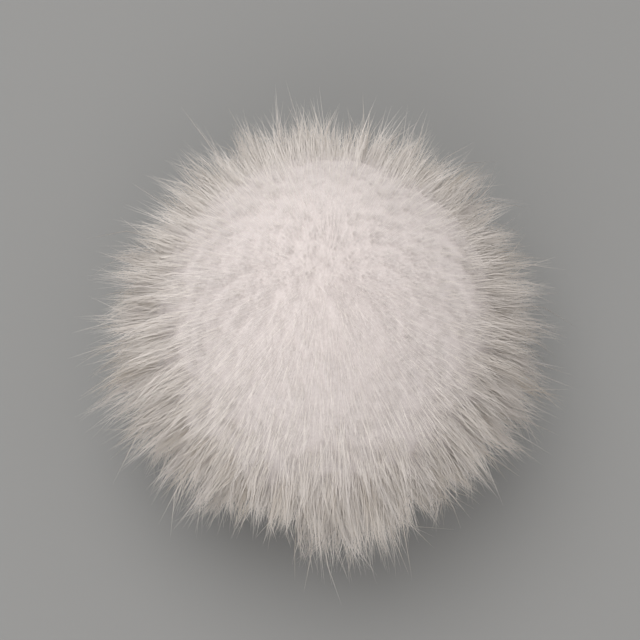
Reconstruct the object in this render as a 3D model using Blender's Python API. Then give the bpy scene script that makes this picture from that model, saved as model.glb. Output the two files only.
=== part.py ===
"""A long-piled fur pom pom, settled on a small flat spot, as one solid.

The ball starts as a geodesic sphere of dense pile.  Each of its faces is drawn out into one
tapered lock.  The locks then sink away from the crown under their own weight, reach as far to
each side as the uneven outline asks, and spread out flat where they meet the table.

Metres, +Z up.  The origin is on the table, under the middle of the ball's box.
"""

import math
import random
from collections import namedtuple

import bmesh
import bpy
from mathutils import Vector

# The ball, measured from its middle.
HEART_RADIUS = 0.046        # the dense pile that the locks rise from
CROWN_REACH = 0.061         # to the tips of the locks on top
MIDDLE_HEIGHT = 0.049       # of the middle above the table

# The outline seen from above, to the tips of the longest locks, counterclockwise from +X.
Reach = namedtuple("Reach", "azimuth_deg reach")
SIDE_REACH = (
    Reach(azimuth_deg=0, reach=0.066),
    Reach(azimuth_deg=30, reach=0.063),
    Reach(azimuth_deg=60, reach=0.0665),
    Reach(azimuth_deg=90, reach=0.062),
    Reach(azimuth_deg=105, reach=0.068),
    Reach(azimuth_deg=140, reach=0.062),
    Reach(azimuth_deg=167, reach=0.066),
    Reach(azimuth_deg=222, reach=0.067),
    Reach(azimuth_deg=250, reach=0.0605),
    Reach(azimuth_deg=281, reach=0.069),
    Reach(azimuth_deg=300, reach=0.065),
    Reach(azimuth_deg=323, reach=0.068),
    Reach(azimuth_deg=345, reach=0.067),
)

# One lock: rings from its root to just under its tip.
Ring = namedtuple("Ring", "height_share width_share")
LOCK_RINGS = (
    Ring(height_share=0.40, width_share=0.84),
    Ring(height_share=0.76, width_share=0.50),
)
LOCK_SUBDIVISIONS = 3       # of the geodesic sphere: 320 locks
LOCK_SHORTFALL = 0.006      # the shortest locks end this far inside the outline
LOCK_WANDER = 0.0022        # how far a root may lie from its even place
SEED = 7

# The pile under the ball, packed solid by its weight, by polar angle from straight up.
PACKED_RADIUS = 0.0605
PACKING_STARTS_DEG = 121
PACKING_ENDS_DEG = 145
LOWEST_LOCK_DEG = 136       # no lock stands free of the packed pile below this

DROOP_DEG = 8.5             # polar angle by which a tip sinks, half way down the ball
DROOP_CURVE = 1.5           # 1 sinks a lock in a straight line, more bends it towards its tip
SPREAD_HEIGHT = 0.013       # below this height the pile is pressed towards the table
LOWEST_PILE = -0.007        # what hangs lower than this before it is pressed is cut flat

FUR_COLOUR = (0.66, 0.60, 0.58, 1.0)
FUR_ROUGHNESS = 0.9


def clear_scene():
    for old in list(bpy.data.objects):
        bpy.data.objects.remove(old, do_unlink=True)


def smooth_step(value, start, end):
    share = min(max((value - start) / (end - start), 0.0), 1.0)
    return share * share * (3.0 - 2.0 * share)


def side_reach(azimuth):
    """The outline's reach at an azimuth in radians, eased between the table's rows."""
    turn = math.degrees(azimuth) % 360.0
    rows = SIDE_REACH + (Reach(SIDE_REACH[0].azimuth_deg + 360, SIDE_REACH[0].reach),)
    for near, far in zip(rows, rows[1:]):
        if near.azimuth_deg <= turn <= far.azimuth_deg:
            ease = smooth_step(turn, near.azimuth_deg, far.azimuth_deg)
            return near.reach + (far.reach - near.reach) * ease
    return rows[-1].reach


def tip_reach(direction):
    """How far the longest lock reaches in a direction: the crown's reach, eased to the side's."""
    sideways = 1.0 - max(direction.z, 0.0) ** 2
    side = side_reach(math.atan2(direction.y, direction.x))
    return CROWN_REACH + (side - CROWN_REACH) * sideways


def polar_deg(point):
    """The angle between straight up and the way to a point."""
    return math.degrees(point.angle(Vector((0, 0, 1))))


def root_radius(direction):
    """The dense pile's radius, which grows to the packed pile's underneath."""
    packed = smooth_step(polar_deg(direction), PACKING_STARTS_DEG, PACKING_ENDS_DEG)
    return HEART_RADIUS + (PACKED_RADIUS - HEART_RADIUS) * packed


def make_heart(bm, dice):
    """A geodesic sphere with its vertices moved a little out of their even places."""
    bmesh.ops.create_icosphere(bm, subdivisions=LOCK_SUBDIVISIONS, radius=HEART_RADIUS)
    for vert in bm.verts:
        wander = Vector([dice.uniform(-LOCK_WANDER, LOCK_WANDER) for _ in range(3)])
        direction = (vert.co + wander).normalized()
        vert.co = direction * root_radius(direction)


def draw_out_lock(bm, face, shortfall):
    """Draw one face out into a lock: two narrowing rings and a point."""
    centre = face.calc_center_median()
    direction = centre.normalized()
    height = tip_reach(direction) - shortfall - centre.length
    spokes = [vert.co - centre for vert in face.verts]
    for ring in LOCK_RINGS:
        face = bmesh.ops.extrude_discrete_faces(bm, faces=[face])["faces"][0]
        ring_centre = centre + direction * height * ring.height_share
        growth = ring_centre.length / centre.length
        for vert, spoke in zip(face.verts, spokes):
            vert.co = ring_centre + spoke * ring.width_share * growth
    tip = bmesh.ops.poke(bm, faces=[face])["verts"][0]
    tip.co = centre + direction * height


def sink_from_crown(point):
    """Turn a point of the pile down about the ball's middle, more the nearer it is to a tip."""
    radius = point.length
    loose = max(radius - HEART_RADIUS, 0.0) / (CROWN_REACH - HEART_RADIUS)
    polar = math.radians(polar_deg(point))
    sunk = polar + math.radians(DROOP_DEG) * math.sin(polar) * loose ** DROOP_CURVE
    azimuth = math.atan2(point.y, point.x)
    flat = radius * math.sin(sunk)
    return Vector((flat * math.cos(azimuth), flat * math.sin(azimuth), radius * math.cos(sunk)))


def press_to_table(height):
    """A height above the table after the lowest pile has spread out along it."""
    if height >= SPREAD_HEIGHT:
        return height
    pressed = SPREAD_HEIGHT * math.exp((height - SPREAD_HEIGHT) / SPREAD_HEIGHT)
    left_over = SPREAD_HEIGHT * math.exp((LOWEST_PILE - SPREAD_HEIGHT) / SPREAD_HEIGHT)
    return (pressed - left_over) * SPREAD_HEIGHT / (SPREAD_HEIGHT - left_over)


def settle(bm):
    """Let the locks sink, stand the ball on the table and cut its flat spot."""
    for vert in bm.verts:
        vert.co = sink_from_crown(vert.co)
        vert.co.z = press_to_table(vert.co.z + MIDDLE_HEIGHT)
    everything = bm.verts[:] + bm.edges[:] + bm.faces[:]
    bmesh.ops.bisect_plane(bm, geom=everything, plane_co=(0, 0, 0), plane_no=(0, 0, 1),
                           clear_inner=True)
    rim = [edge for edge in bm.edges if edge.is_boundary]
    bmesh.ops.holes_fill(bm, edges=rim, sides=0)


def centre_over_origin(bm):
    for axis in (0, 1):
        places = [vert.co[axis] for vert in bm.verts]
        middle = (min(places) + max(places)) / 2
        for vert in bm.verts:
            vert.co[axis] -= middle


def make_fur_material():
    material = bpy.data.materials.new("white_fur")
    material.use_nodes = True
    shader = material.node_tree.nodes["Principled BSDF"]
    shader.inputs["Base Color"].default_value = FUR_COLOUR
    shader.inputs["Roughness"].default_value = FUR_ROUGHNESS
    shader.inputs["Metallic"].default_value = 0.0
    material.diffuse_color = FUR_COLOUR
    return material


def make_fur_ball(collection):
    dice = random.Random(SEED)
    bm = bmesh.new()
    make_heart(bm, dice)
    for face in list(bm.faces):
        shortfall = dice.uniform(0.0, LOCK_SHORTFALL)
        if polar_deg(face.calc_center_median()) < LOWEST_LOCK_DEG:
            draw_out_lock(bm, face, shortfall)
    settle(bm)
    centre_over_origin(bm)
    bmesh.ops.triangulate(bm, faces=bm.faces[:])
    bmesh.ops.recalc_face_normals(bm, faces=bm.faces[:])
    mesh = bpy.data.meshes.new("fur_ball")
    bm.to_mesh(mesh)
    bm.free()
    mesh.materials.append(make_fur_material())
    ball = bpy.data.objects.new("fur_ball", mesh)
    collection.objects.link(ball)


def main():
    clear_scene()
    collection = bpy.data.collections.new("pom_pom")
    bpy.context.scene.collection.children.link(collection)
    make_fur_ball(collection)


main()
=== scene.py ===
"""The looks of a white long-pile fur pom pom that lies on a plain floor.

A dense ball of underwool carries the combed hair.  The hair grows in locks: every main lock of
the solid is a family of finer locks, and every lock a bunch of single tapered hairs.
Metres, +Z up, in the solid's own frame.
"""

import math
from collections import namedtuple

import bmesh
import bpy
import numpy as np
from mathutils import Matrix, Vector


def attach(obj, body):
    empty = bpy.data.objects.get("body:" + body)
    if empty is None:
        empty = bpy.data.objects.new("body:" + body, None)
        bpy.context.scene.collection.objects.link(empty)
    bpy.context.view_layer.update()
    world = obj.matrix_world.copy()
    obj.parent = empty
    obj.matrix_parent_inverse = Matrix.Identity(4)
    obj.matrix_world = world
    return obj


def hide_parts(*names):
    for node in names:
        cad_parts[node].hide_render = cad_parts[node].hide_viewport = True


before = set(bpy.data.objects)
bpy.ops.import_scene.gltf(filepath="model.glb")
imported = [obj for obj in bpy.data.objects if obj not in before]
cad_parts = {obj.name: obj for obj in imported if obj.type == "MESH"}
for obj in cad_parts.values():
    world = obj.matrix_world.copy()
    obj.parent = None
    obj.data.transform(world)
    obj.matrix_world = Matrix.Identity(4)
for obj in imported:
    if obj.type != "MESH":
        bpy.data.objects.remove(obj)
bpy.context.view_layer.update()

SEED = 11

# The ball, as the solid has it.
MIDDLE = np.array((0.0, 0.0, 0.049))
SPREAD_HEIGHT = 0.013           # below this height the pile is pressed towards the table
LOWEST_PILE = -0.007            # what hangs lower than this before it is pressed lies flat
TABLE_GAP = 0.0002              # from the table to the underwool and to the middles of hairs
SKIN_GAP = 0.0001               # from the table to the sides of hairs

# The dense underwool, by polar angle from straight up.
CROWN_WOOL_RADIUS = 0.0527
SIDE_WOOL_RADIUS = 0.0470
WOOL_EASES_DEG = (22, 92)
UNDERWOOL_SUBDIVISIONS = 5

# The locks.  Polar angles are counted from straight up.
LOCK_COUNT = 1650
LOCK_WANDER = 0.0010            # how far a lock stands from its even place
ROOT_RADIUS = 0.042
LEAN_DEG = 13.0                 # polar angle by which a tip sinks, half way down the ball
HELD_UNDER_DEG = (80, 150)      # lower down the pile sinks less, because the table holds it
HELD_UNDER = 0.4
COMBED = np.array((0.0, -0.13, 0.0))    # the crown's pile lies towards the front
LOCK_SWAY = 0.0033              # how far a lock's tip strays
GATHER = 0.50                   # pull of a main lock on the tips of its family
LOCK_SHORTFALL = 0.20           # share by which a lock may end short of its main lock
LOCKS_FORM_DEG = (15, 84)       # the crown stands more even, and below it the pile parts
CROWN_DRAWN = 0.15              # how far the crown's locks are drawn together, of 1
UNDERSIDE_DEG = (120, 145)      # the pile that the ball lies on thins out
UNDERSIDE_SHARE = 0.2
UNDER_TIP_HEIGHT = SPREAD_HEIGHT / 3.0  # a lock that would end lower reaches outwards
SPREAD_UNDER = 0.9              # how far outwards, as a share of how much lower

# The two coats of every lock: long guard hairs over dense short wool.  Lengths are shares of
# the way from a lock's root to its tip.  A row with a star has one value for even pile, and
# one for pile that is all drawn together into locks.
Coat = namedtuple("Coat", (
    "name",
    "spindle",          # pointed at the root too, where other hairs are plain cones
    "per_lock",         # * hairs in a lock
    "radius",           # * of one hair
    "places",           # of the stations along a hair, from its root to its tip
    "shortest",         # *
    "longest",          # *
    "favour_long",      # 1 makes all lengths as common, and more makes long ones commoner
    "follow",           # how far the hairs go with their own lock, of 1
    "openness",         # * how far apart they are at their tips, of 1 at their roots
    "stray",            # * how far a tip leaves its place
    "frizz",            # how far a tip bends off by itself, and less towards the root
    "wild_share",       # hairs that leave their lock altogether
    "colours",
))
# A hair's colour at its root, middle and tip.  The darker root and middle are painted shade
# deep in the pile, over the hair's own white.
Colours = namedtuple("Colours", "material root middle tip")
GUARD = Coat(
    name="guard_hair", spindle=True, per_lock=(10, 38), radius=(0.00005, 0.000093),
    places=(0.15, 0.62, 1.0), shortest=(0.80, 0.55), longest=(1.12, 1.33), favour_long=1.0,
    follow=1.0, openness=(1.5, 0.20), stray=(0.0014, 0.0013), frizz=0.0003, wild_share=0.07,
    # Root and middle darker than the tip: painted shade deep in the pile.
    colours=Colours(material="white_guard_hair", root=(0.77, 0.67, 0.57),
                    middle=(0.94, 0.88, 0.83), tip=(0.985, 0.937, 0.895)))
WOOL = Coat(
    name="wool_hair", spindle=False, per_lock=(167, 110), radius=(0.00007, 0.00010),
    places=(0.3, 1.0), shortest=(0.64, 0.47), longest=(0.98, 0.70), favour_long=1.6,
    follow=0.4, openness=(1.5, 1.4), stray=(0.0014, 0.0018), frizz=0.0002, wild_share=0.0,
    # Root and middle darker than the tip: painted shade deep in the pile.
    colours=Colours(material="white_wool", root=(0.86, 0.78, 0.72),
                    middle=(0.94, 0.88, 0.845), tip=(0.985, 0.932, 0.918)))
HAIR_STIFFNESS = 0.50           # how far a hair grows straight out before it bends over
WILD_STRAY = 0.0045             # how far the tips of wild hairs leave their lock
POINTEDNESS = 2.5               # a hair ends this much sooner than its lock's middle, per metre
                                # that it lies aside of it
HAIR_SIDES = 3
SECTORS = 4                     # pieces that each coat is split into, round the ball

# The spiral that locks and hairs stand on.
SPIRAL_BANDS = 2000             # steps from pole to pole in which its crowd is counted
GOLDEN_HALF_TURNS = 3.0 - math.sqrt(5.0)
LOOKUP_PARTS = 100              # batches in which the hairs look for their nearest lock

# Colours.  A mesh of hair is mapped across by each hair's tint, and up from root to tip.  Each
# hair darkens from its tip towards its root: painted shade deep in the pile.
HAIR_MAP = "OFBake"
TINT_WIDTH = 0.005              # of one hair across the map
TINT_MARGIN = 0.01              # left free on both sides of the map
EVEN_TINT = 0.7                 # which the crown's hairs stay close to
TINT_BY_LOCK = 0.65             # share of a hair's tint that its whole lock has
HAIR_PLACES = (0.1, 0.5, 0.9)   # of the root, middle and tip colours
HAIR_TONES = (                  # from the dullest tint to the brightest
    (0.05, (0.87, 0.82, 0.75)),
    (0.40, (0.97, 0.95, 0.925)),
    (1.00, (1.0, 0.985, 0.99)),
)
HAIR_ROUGHNESS = 0.6
HAIR_SHINE = 0.25
# The underwool is darkened overall as painted shade of the deep pile, with a grain of its own.
UNDERWOOL_SHADED_TONES = (             # from the dark grains to the light ones
    (0.35, (0.65, 0.59, 0.57)),
    (0.65, (0.73, 0.67, 0.65)),
)
UNDERWOOL_GRAIN = 2200.0        # noise features to a metre
UNDERWOOL_GRAIN_DETAIL = 4.0
UNDERWOOL_ROUGHNESS = 0.9
FLOOR_COLOUR = (0.255, 0.255, 0.25)
FLOOR_ROUGHNESS = 0.7
FLOOR_HALF_SIDE = 3.0

# A Mix node's colour sockets have the same names as its others, so they are linked by number.
MIX_A, MIX_B, MIX_RESULT = 6, 7, 2

# Camera and light.
CAMERA_ELEVATION_DEG = 75.0
CAMERA_DISTANCE = 0.60
PHOTO_SIDE_PX = 640
PHOTO_PX_PER_METRE = 3645.0
BALL_MIDDLE_PX = (325.0, 334.0)
SENSOR_WIDTH = 36.0             # millimetres
Lamp = namedtuple("Lamp", "name place size power")      # power in watts
LAMPS = (
    Lamp(name="key", place=(-0.17, 0.30, 1.2), size=0.9, power=6.9),
    Lamp(name="fill", place=(-0.2, -0.9, 0.9), size=1.0, power=3.4),
)
STUDIO_COLOUR = (1.0, 0.98, 0.97)
STUDIO_STRENGTH = 0.68

Locks = namedtuple("Locks", "directions roots even_tips tips drawn")


def unit(vectors):
    return vectors / np.linalg.norm(vectors, axis=-1, keepdims=True)


def ease(values, start, end):
    share = np.clip((values - start) / (end - start), 0.0, 1.0)
    return share * share * (3.0 - 2.0 * share)


def blend(pair, share):
    """From a pair's first value to its second."""
    return pair[0] + (pair[1] - pair[0]) * share


def polar_deg(heights):
    """Angles between straight up and the directions that have these heights."""
    return np.degrees(np.arccos(np.clip(heights, -1.0, 1.0)))


def spread_directions(crowd):
    """Directions spread over a sphere on a golden spiral.  The crowd, a function of the polar
    angle, says how many of them there are to each lock."""
    heights = np.linspace(1.0, -1.0, SPIRAL_BANDS + 1)
    crowds = crowd(polar_deg((heights[1:] + heights[:-1]) / 2.0))
    passed = np.concatenate(([0.0], np.cumsum(crowds))) * LOCK_COUNT / SPIRAL_BANDS
    step = np.arange(int(passed[-1])) + 0.5
    height = np.interp(step, passed, heights)
    turn = step * math.pi * GOLDEN_HALF_TURNS
    side = np.sqrt(1.0 - height ** 2)
    return np.stack((side * np.cos(turn), side * np.sin(turn), height), axis=1)


def lean_down(directions):
    """Turn directions down from the crown, as far as the pile leans at its tips, and comb
    those of the crown towards the front."""
    polar = np.radians(polar_deg(directions[:, 2]))
    azimuth = np.arctan2(directions[:, 1], directions[:, 0])
    held = 1.0 - HELD_UNDER * ease(np.degrees(polar), *HELD_UNDER_DEG)
    sunk = polar + math.radians(LEAN_DEG) * np.sin(polar) * held
    side = np.sin(sunk)
    leaned = np.stack((side * np.cos(azimuth), side * np.sin(azimuth), np.cos(sunk)), axis=1)
    upward = np.maximum(leaned[:, 2:], 0.0)
    return unit(leaned + COMBED * upward ** 2)


def press_to_table(heights):
    """Heights above the table after the lowest pile has spread out along it."""
    pressed = SPREAD_HEIGHT * np.exp((heights - SPREAD_HEIGHT) / SPREAD_HEIGHT)
    left_over = SPREAD_HEIGHT * math.exp((LOWEST_PILE - SPREAD_HEIGHT) / SPREAD_HEIGHT)
    low = (pressed - left_over) * SPREAD_HEIGHT / (SPREAD_HEIGHT - left_over)
    return np.maximum(np.where(heights >= SPREAD_HEIGHT, heights, low), TABLE_GAP)


def main_lock_tips():
    """The points that the solid's main locks are drawn out to, where just three edges meet."""
    bm = bmesh.new()
    bm.from_mesh(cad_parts["fur_ball"].data)
    bmesh.ops.remove_doubles(bm, verts=bm.verts, dist=1e-6)
    tips = [vert.co.copy() for vert in bm.verts if len(vert.link_edges) == 3]
    bm.free()
    return np.array([tip for tip in tips if tip.z > 0.0])


def plan_locks(dice):
    """Where each lock points, starts and ends, and how far it is drawn together, from 0 to 1.
    The even tips are where it would end if all locks were alike."""
    directions = spread_directions(np.ones_like)
    formed = ease(polar_deg(directions[:, 2:]), *LOCKS_FORM_DEG)
    drawn = blend((CROWN_DRAWN, 1.0), formed)
    wander = dice.normal(0.0, LOCK_WANDER / ROOT_RADIUS, directions.shape)
    directions = unit(directions + wander * drawn)
    roots = MIDDLE + directions * ROOT_RADIUS
    leaning = lean_down(directions)
    mains = main_lock_tips()
    nearest = np.argmax(leaning @ unit(mains - MIDDLE).T, axis=1)
    reaches = np.linalg.norm(mains - MIDDLE, axis=1)
    reach = blend((reaches.mean(), reaches[nearest, None]), drawn)
    own_reach = reach * (1.0 - dice.uniform(0.0, LOCK_SHORTFALL, reach.shape) * drawn)
    even_tips = MIDDLE + leaning * reach * (1.0 - LOCK_SHORTFALL / 2.0 * drawn)
    tips = MIDDLE + leaning * own_reach + dice.normal(0.0, LOCK_SWAY, even_tips.shape) * drawn
    free = tips[:, 2:] > SPREAD_HEIGHT
    tips += (mains[nearest] - tips) * GATHER * drawn * free
    for ends in (even_tips, tips):
        hidden = np.maximum(UNDER_TIP_HEIGHT - ends[:, 2:], 0.0)
        ends[:, :2] += unit(directions[:, :2]) * hidden * SPREAD_UNDER
    return Locks(directions, roots, even_tips, tips, drawn)


def plan_hairs(coat, locks, dice):
    """The stations of every hair of a coat, by hair, station and coordinate, and the number
    of each hair's lock."""
    def crowd(polar):
        left = blend((1.0, UNDERSIDE_SHARE), ease(polar, *UNDERSIDE_DEG))
        return blend(coat.per_lock, ease(polar, *LOCKS_FORM_DEG)) * left

    ways = spread_directions(crowd)
    count = len(ways)
    lock = np.concatenate([np.argmax(part @ locks.directions.T, axis=1)
                           for part in np.array_split(ways, LOOKUP_PARTS)])
    drawn = locks.drawn[lock]
    offset = (ways - locks.directions[lock]) * ROOT_RADIUS
    root = MIDDLE + ways * ROOT_RADIUS
    wild = dice.random((count, 1)) < coat.wild_share * drawn
    stray = np.where(wild, WILD_STRAY, blend(coat.stray, drawn))
    aside = offset * blend(coat.openness, drawn) + dice.normal(0.0, 1.0, (count, 3)) * stray
    tip = blend((locks.even_tips[lock], locks.tips[lock]), coat.follow) + aside
    length = np.linalg.norm(tip - root, axis=1, keepdims=True)
    elbow = root + unit(root - MIDDLE) * length * HAIR_STIFFNESS
    draw = dice.random((count, 1)) ** (1.0 / coat.favour_long)
    share = blend((blend(coat.shortest, drawn), blend(coat.longest, drawn)), draw)
    tapered = POINTEDNESS * np.linalg.norm(aside, axis=1, keepdims=True) / length * drawn
    share = np.where(wild, np.minimum(share, 1.0), share - tapered)
    share = (share * np.array(coat.places))[:, :, None]
    path = ((1 - share) ** 2 * root[:, None] + 2 * share * (1 - share) * elbow[:, None]
            + share ** 2 * tip[:, None])
    path += dice.normal(0.0, coat.frizz, path.shape) * share
    path[:, :, 2] = press_to_table(path[:, :, 2])
    return path, lock


def hair_pattern(coat):
    """One closed three-sided hair of radius 1.  A corner's height says at which of the coat's
    places it belongs: a cone rises from the last but one to the last, and a spindle also
    narrows from there to the first."""
    widest = len(coat.places) - 2
    bm = bmesh.new()
    bmesh.ops.create_cone(bm, cap_ends=True, segments=HAIR_SIDES, radius1=1.0, radius2=0.0,
                          depth=1.0)
    bmesh.ops.remove_doubles(bm, verts=bm.verts, dist=1e-5)
    bmesh.ops.translate(bm, verts=bm.verts, vec=(0.0, 0.0, widest + 0.5))
    if coat.spindle:
        bm.faces.ensure_lookup_table()
        base = min(bm.faces, key=lambda face: face.calc_center_median().z)
        root = bmesh.ops.poke(bm, faces=[base])["verts"][0]
        root.co.z = 0.0
    corners = np.array([vert.co[:] for vert in bm.verts])
    faces = [[vert.index for vert in face.verts] for face in bm.faces]
    bm.free()
    return corners, faces


def place_object(name, mesh):
    placed = bpy.data.objects.new(name, mesh)
    bpy.context.scene.collection.objects.link(placed)
    return placed


def grow(name, coat, path, tint, drawn, dice):
    """All hairs of a piece as one mesh, with tint and length in its map.  Its normals point
    straight out from the ball, because pile is lit as a whole and not hair by hair."""
    corners, faces = hair_pattern(coat)
    station = np.round(corners[:, 2]).astype(int)
    radius = blend(coat.radius, drawn)
    along = unit(path[:, -1] - path[:, 0])
    across = unit(np.cross(along, dice.normal(0.0, 1.0, along.shape)))
    beside = np.cross(along, across)
    points = (path[:, station]
              + across[:, None] * (corners[:, 0] * radius)[:, :, None]
              + beside[:, None] * (corners[:, 1] * radius)[:, :, None])
    points[:, :, 2] = np.maximum(points[:, :, 2], SKIN_GAP)
    count, per_hair = points.shape[:2]
    mesh = bpy.data.meshes.new(name)
    sizes = np.tile([len(face) for face in faces], count)
    loop_vert = np.concatenate(faces)
    loops = (loop_vert[None] + (np.arange(count) * per_hair)[:, None]).ravel()
    mesh.vertices.add(count * per_hair)
    mesh.vertices.foreach_set("co", points.ravel())
    mesh.loops.add(len(loops))
    mesh.loops.foreach_set("vertex_index", loops)
    mesh.polygons.add(len(sizes))
    mesh.polygons.foreach_set("loop_start", np.concatenate(([0], np.cumsum(sizes)[:-1])))
    mesh.polygons.foreach_set("loop_total", sizes)
    across_map = tint[:, None] + TINT_WIDTH * (corners[loop_vert, 0][None] + 1.0) / 2.0
    along_map = np.broadcast_to(np.array(coat.places)[station[loop_vert]], across_map.shape)
    layer = mesh.uv_layers.new(name=HAIR_MAP)
    layer.data.foreach_set("uv", np.stack((across_map, along_map), axis=2).ravel())
    mesh.update(calc_edges=True)
    mesh.validate()
    mesh.shade_smooth()
    mesh.normals_split_custom_set_from_vertices(unit(points.reshape(-1, 3) - MIDDLE))
    return place_object(name, mesh)


def new_material(name, roughness):
    """A material, its node tree and its shader."""
    material = bpy.data.materials.new(name)
    material.use_nodes = True
    shader = material.node_tree.nodes["Principled BSDF"]
    shader.inputs["Roughness"].default_value = roughness
    return material, material.node_tree, shader


def node(tree, kind, **values):
    made = tree.nodes.new(kind)
    for name, value in values.items():
        setattr(made, name, value)
    return made


def ramp_of(tree, source, stops):
    """A colour ramp over a source socket.  Each stop is a place and a colour."""
    ramp = node(tree, "ShaderNodeValToRGB")
    elements = ramp.color_ramp.elements
    while len(elements) < len(stops):
        elements.new(0.5)
    for element, (place, colour) in zip(elements, stops):
        element.position = place
        element.color = (*colour, 1.0)
    tree.links.new(source, ramp.inputs["Fac"])
    return ramp.outputs["Color"]


def hair_material(colours):
    material, tree, shader = new_material(colours.material, HAIR_ROUGHNESS)
    shader.inputs["Specular IOR Level"].default_value = HAIR_SHINE
    place = node(tree, "ShaderNodeUVMap", uv_map=HAIR_MAP)
    split = node(tree, "ShaderNodeSeparateXYZ")
    tree.links.new(place.outputs["UV"], split.inputs["Vector"])
    # Painted shade: the colour darkens from the tip towards the root, deep in the pile.
    along = (colours.root, colours.middle, colours.tip)
    mix = node(tree, "ShaderNodeMix", data_type="RGBA", blend_type="MULTIPLY")
    mix.inputs["Factor"].default_value = 1.0
    tree.links.new(ramp_of(tree, split.outputs["Y"], tuple(zip(HAIR_PLACES, along))),
                   mix.inputs[MIX_A])
    tree.links.new(ramp_of(tree, split.outputs["X"], HAIR_TONES), mix.inputs[MIX_B])
    tree.links.new(mix.outputs[MIX_RESULT], shader.inputs["Base Color"])
    return material


def underwool_material():
    material, tree, shader = new_material("white_underwool_painted_shade", UNDERWOOL_ROUGHNESS)
    place = node(tree, "ShaderNodeTexCoord")
    noise = node(tree, "ShaderNodeTexNoise")
    noise.inputs["Scale"].default_value = UNDERWOOL_GRAIN
    noise.inputs["Detail"].default_value = UNDERWOOL_GRAIN_DETAIL
    tree.links.new(place.outputs["Object"], noise.inputs["Vector"])
    # Painted shade: the underwool is coloured darker than the hair, as the deep pile lies in
    # shade.
    colour = ramp_of(tree, noise.outputs["Fac"], UNDERWOOL_SHADED_TONES)
    tree.links.new(colour, shader.inputs["Base Color"])
    return material


def make_underwool():
    bm = bmesh.new()
    bmesh.ops.create_icosphere(bm, subdivisions=UNDERWOOL_SUBDIVISIONS, radius=1.0)
    ways = np.array([vert.co[:] for vert in bm.verts])
    sideways = ease(polar_deg(ways[:, 2]), *WOOL_EASES_DEG)
    radius = blend((CROWN_WOOL_RADIUS, SIDE_WOOL_RADIUS), sideways)
    points = MIDDLE + ways * radius[:, None]
    points[:, 2] = press_to_table(points[:, 2])
    for vert, point in zip(bm.verts, points):
        vert.co = point
    mesh = bpy.data.meshes.new("underwool")
    bm.to_mesh(mesh)
    bm.free()
    mesh.shade_smooth()
    mesh.materials.append(underwool_material())
    return place_object("underwool", mesh)


def sector_of(points):
    """Which piece a lock belongs to, counted round the ball."""
    way = points - MIDDLE
    turn = np.arctan2(way[:, 1], way[:, 0]) / (2.0 * math.pi) + 0.5
    return np.minimum((turn * SECTORS).astype(int), SECTORS - 1)


def make_pile():
    """Both coats of hair, each in a few pieces round the ball."""
    dice = np.random.default_rng(SEED)
    locks = plan_locks(dice)
    lock_tint = dice.random(len(locks.roots))
    sectors = sector_of(locks.roots)
    pieces = []
    for coat in (GUARD, WOOL):
        material = hair_material(coat.colours)
        path, lock = plan_hairs(coat, locks, dice)
        drawn = locks.drawn[lock]
        own_tint = dice.random(len(lock))
        tint = blend((own_tint, lock_tint[lock]), TINT_BY_LOCK)
        tint = blend((EVEN_TINT, tint), drawn[:, 0]) * (1.0 - TINT_WIDTH)
        tint = blend((TINT_MARGIN, 1.0 - TINT_MARGIN), tint)
        for sector in range(SECTORS):
            chosen = sectors[lock] == sector
            piece = grow(f"{coat.name}_{sector + 1}", coat, path[chosen], tint[chosen],
                         drawn[chosen], dice)
            piece.data.materials.append(material)
            pieces.append(piece)
    return pieces


def make_floor():
    bm = bmesh.new()
    bmesh.ops.create_grid(bm, x_segments=1, y_segments=1, size=FLOOR_HALF_SIDE)
    mesh = bpy.data.meshes.new("floor")
    bm.to_mesh(mesh)
    bm.free()
    material, _, shader = new_material("pale_floor", FLOOR_ROUGHNESS)
    shader.inputs["Base Color"].default_value = (*FLOOR_COLOUR, 1.0)
    mesh.materials.append(material)
    floor = place_object("floor", mesh)


def make_studio():
    for lamp in LAMPS:
        data = bpy.data.lights.new(lamp.name, "AREA")
        data.shape = "DISK"
        data.size = lamp.size
        data.energy = lamp.power
        light = place_object(lamp.name, data)
        light.location = lamp.place
        aim = Vector(MIDDLE) - Vector(lamp.place)
        light.rotation_euler = aim.to_track_quat("-Z", "Y").to_euler()
    world = bpy.data.worlds.new("studio")
    world.use_nodes = True
    background = world.node_tree.nodes["Background"]
    background.inputs["Color"].default_value = (*STUDIO_COLOUR, 1.0)
    background.inputs["Strength"].default_value = STUDIO_STRENGTH
    bpy.context.scene.world = world
    bpy.context.scene.view_settings.view_transform = "Standard"


def make_camera():
    """The camera at the photo's angle, with the ball's outline where the photo has it."""
    tilt = math.radians(CAMERA_ELEVATION_DEG)
    back = Vector((0.0, -math.cos(tilt), math.sin(tilt)))
    up = Vector((0.0, math.sin(tilt), math.cos(tilt)))
    half = PHOTO_SIDE_PX / 2
    aside = Vector((half - BALL_MIDDLE_PX[0], 0.0, 0.0)) / PHOTO_PX_PER_METRE
    above = up * (BALL_MIDDLE_PX[1] - half) / PHOTO_PX_PER_METRE
    aim = Vector(MIDDLE) + aside + above
    data = bpy.data.cameras.new("camera")
    data.sensor_width = SENSOR_WIDTH
    data.lens = SENSOR_WIDTH * CAMERA_DISTANCE / (PHOTO_SIDE_PX / PHOTO_PX_PER_METRE)
    camera = place_object("camera", data)
    camera.location = aim + back * CAMERA_DISTANCE
    camera.rotation_euler = back.to_track_quat("Z", "Y").to_euler()
    bpy.context.scene.camera = camera


make_camera()
wool = make_underwool()
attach(wool, "root")
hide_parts("fur_ball")
for piece in make_pile():
    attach(piece, "root")
make_floor()
make_studio()
